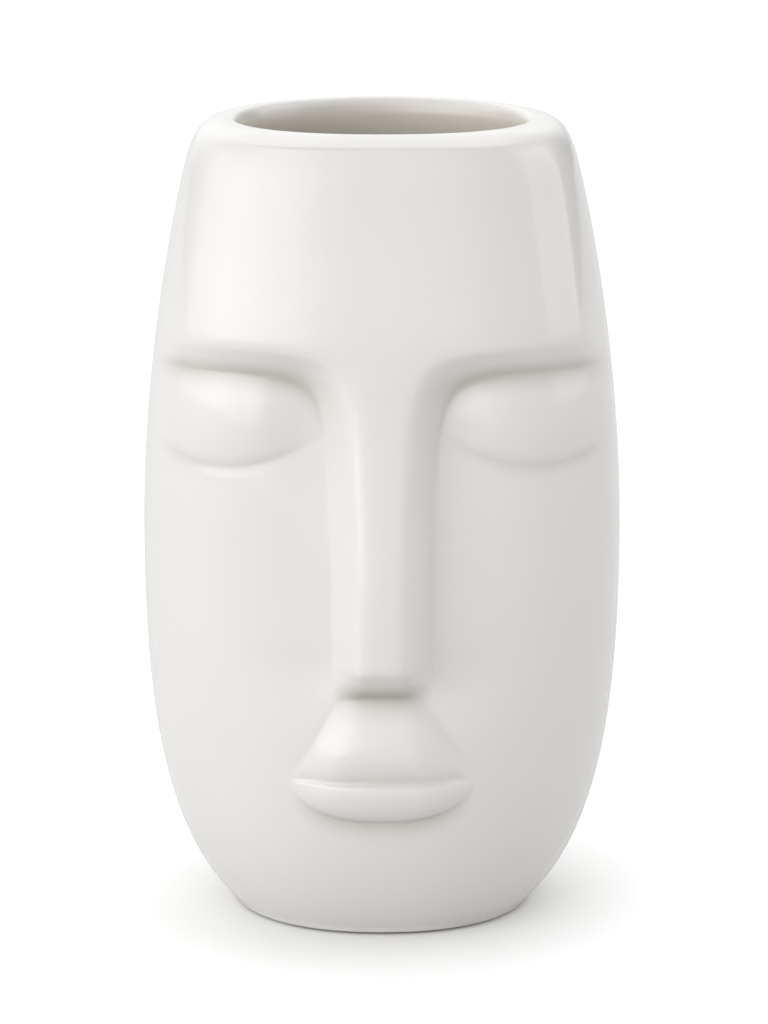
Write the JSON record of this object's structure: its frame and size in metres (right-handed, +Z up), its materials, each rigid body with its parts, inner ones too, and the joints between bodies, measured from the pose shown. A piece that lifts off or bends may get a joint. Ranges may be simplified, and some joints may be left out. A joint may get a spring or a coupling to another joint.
{
  "type": "vase",
  "caption": "Hollow ceramic vase shaped as a calm stylised face in relief, with a rolled open mouth at the top and a flat foot.",
  "frame": {"origin": "middle of the overall width and depth, on the plane that the vase stands on; the centre of the foot ring lies 3.2 mm behind it, because the nose and the muzzle stand out in front", "axes": "+Z up through the mouth, the face looks along -Y, +X towards the viewer's right when facing it"},
  "size_m": [0.1196, 0.1228, 0.2],
  "materials": {
    "glazed_white_ceramic": "gloss",
    "bare_clay": "matte",
    "foam_pad": "matte"
  },
  "bodies": {
    "root": {"vase_body": "glazed_white_ceramic", "foot_ring": "bare_clay", "foot_pads": "foam_pad"}
  },
  "joints": []
}
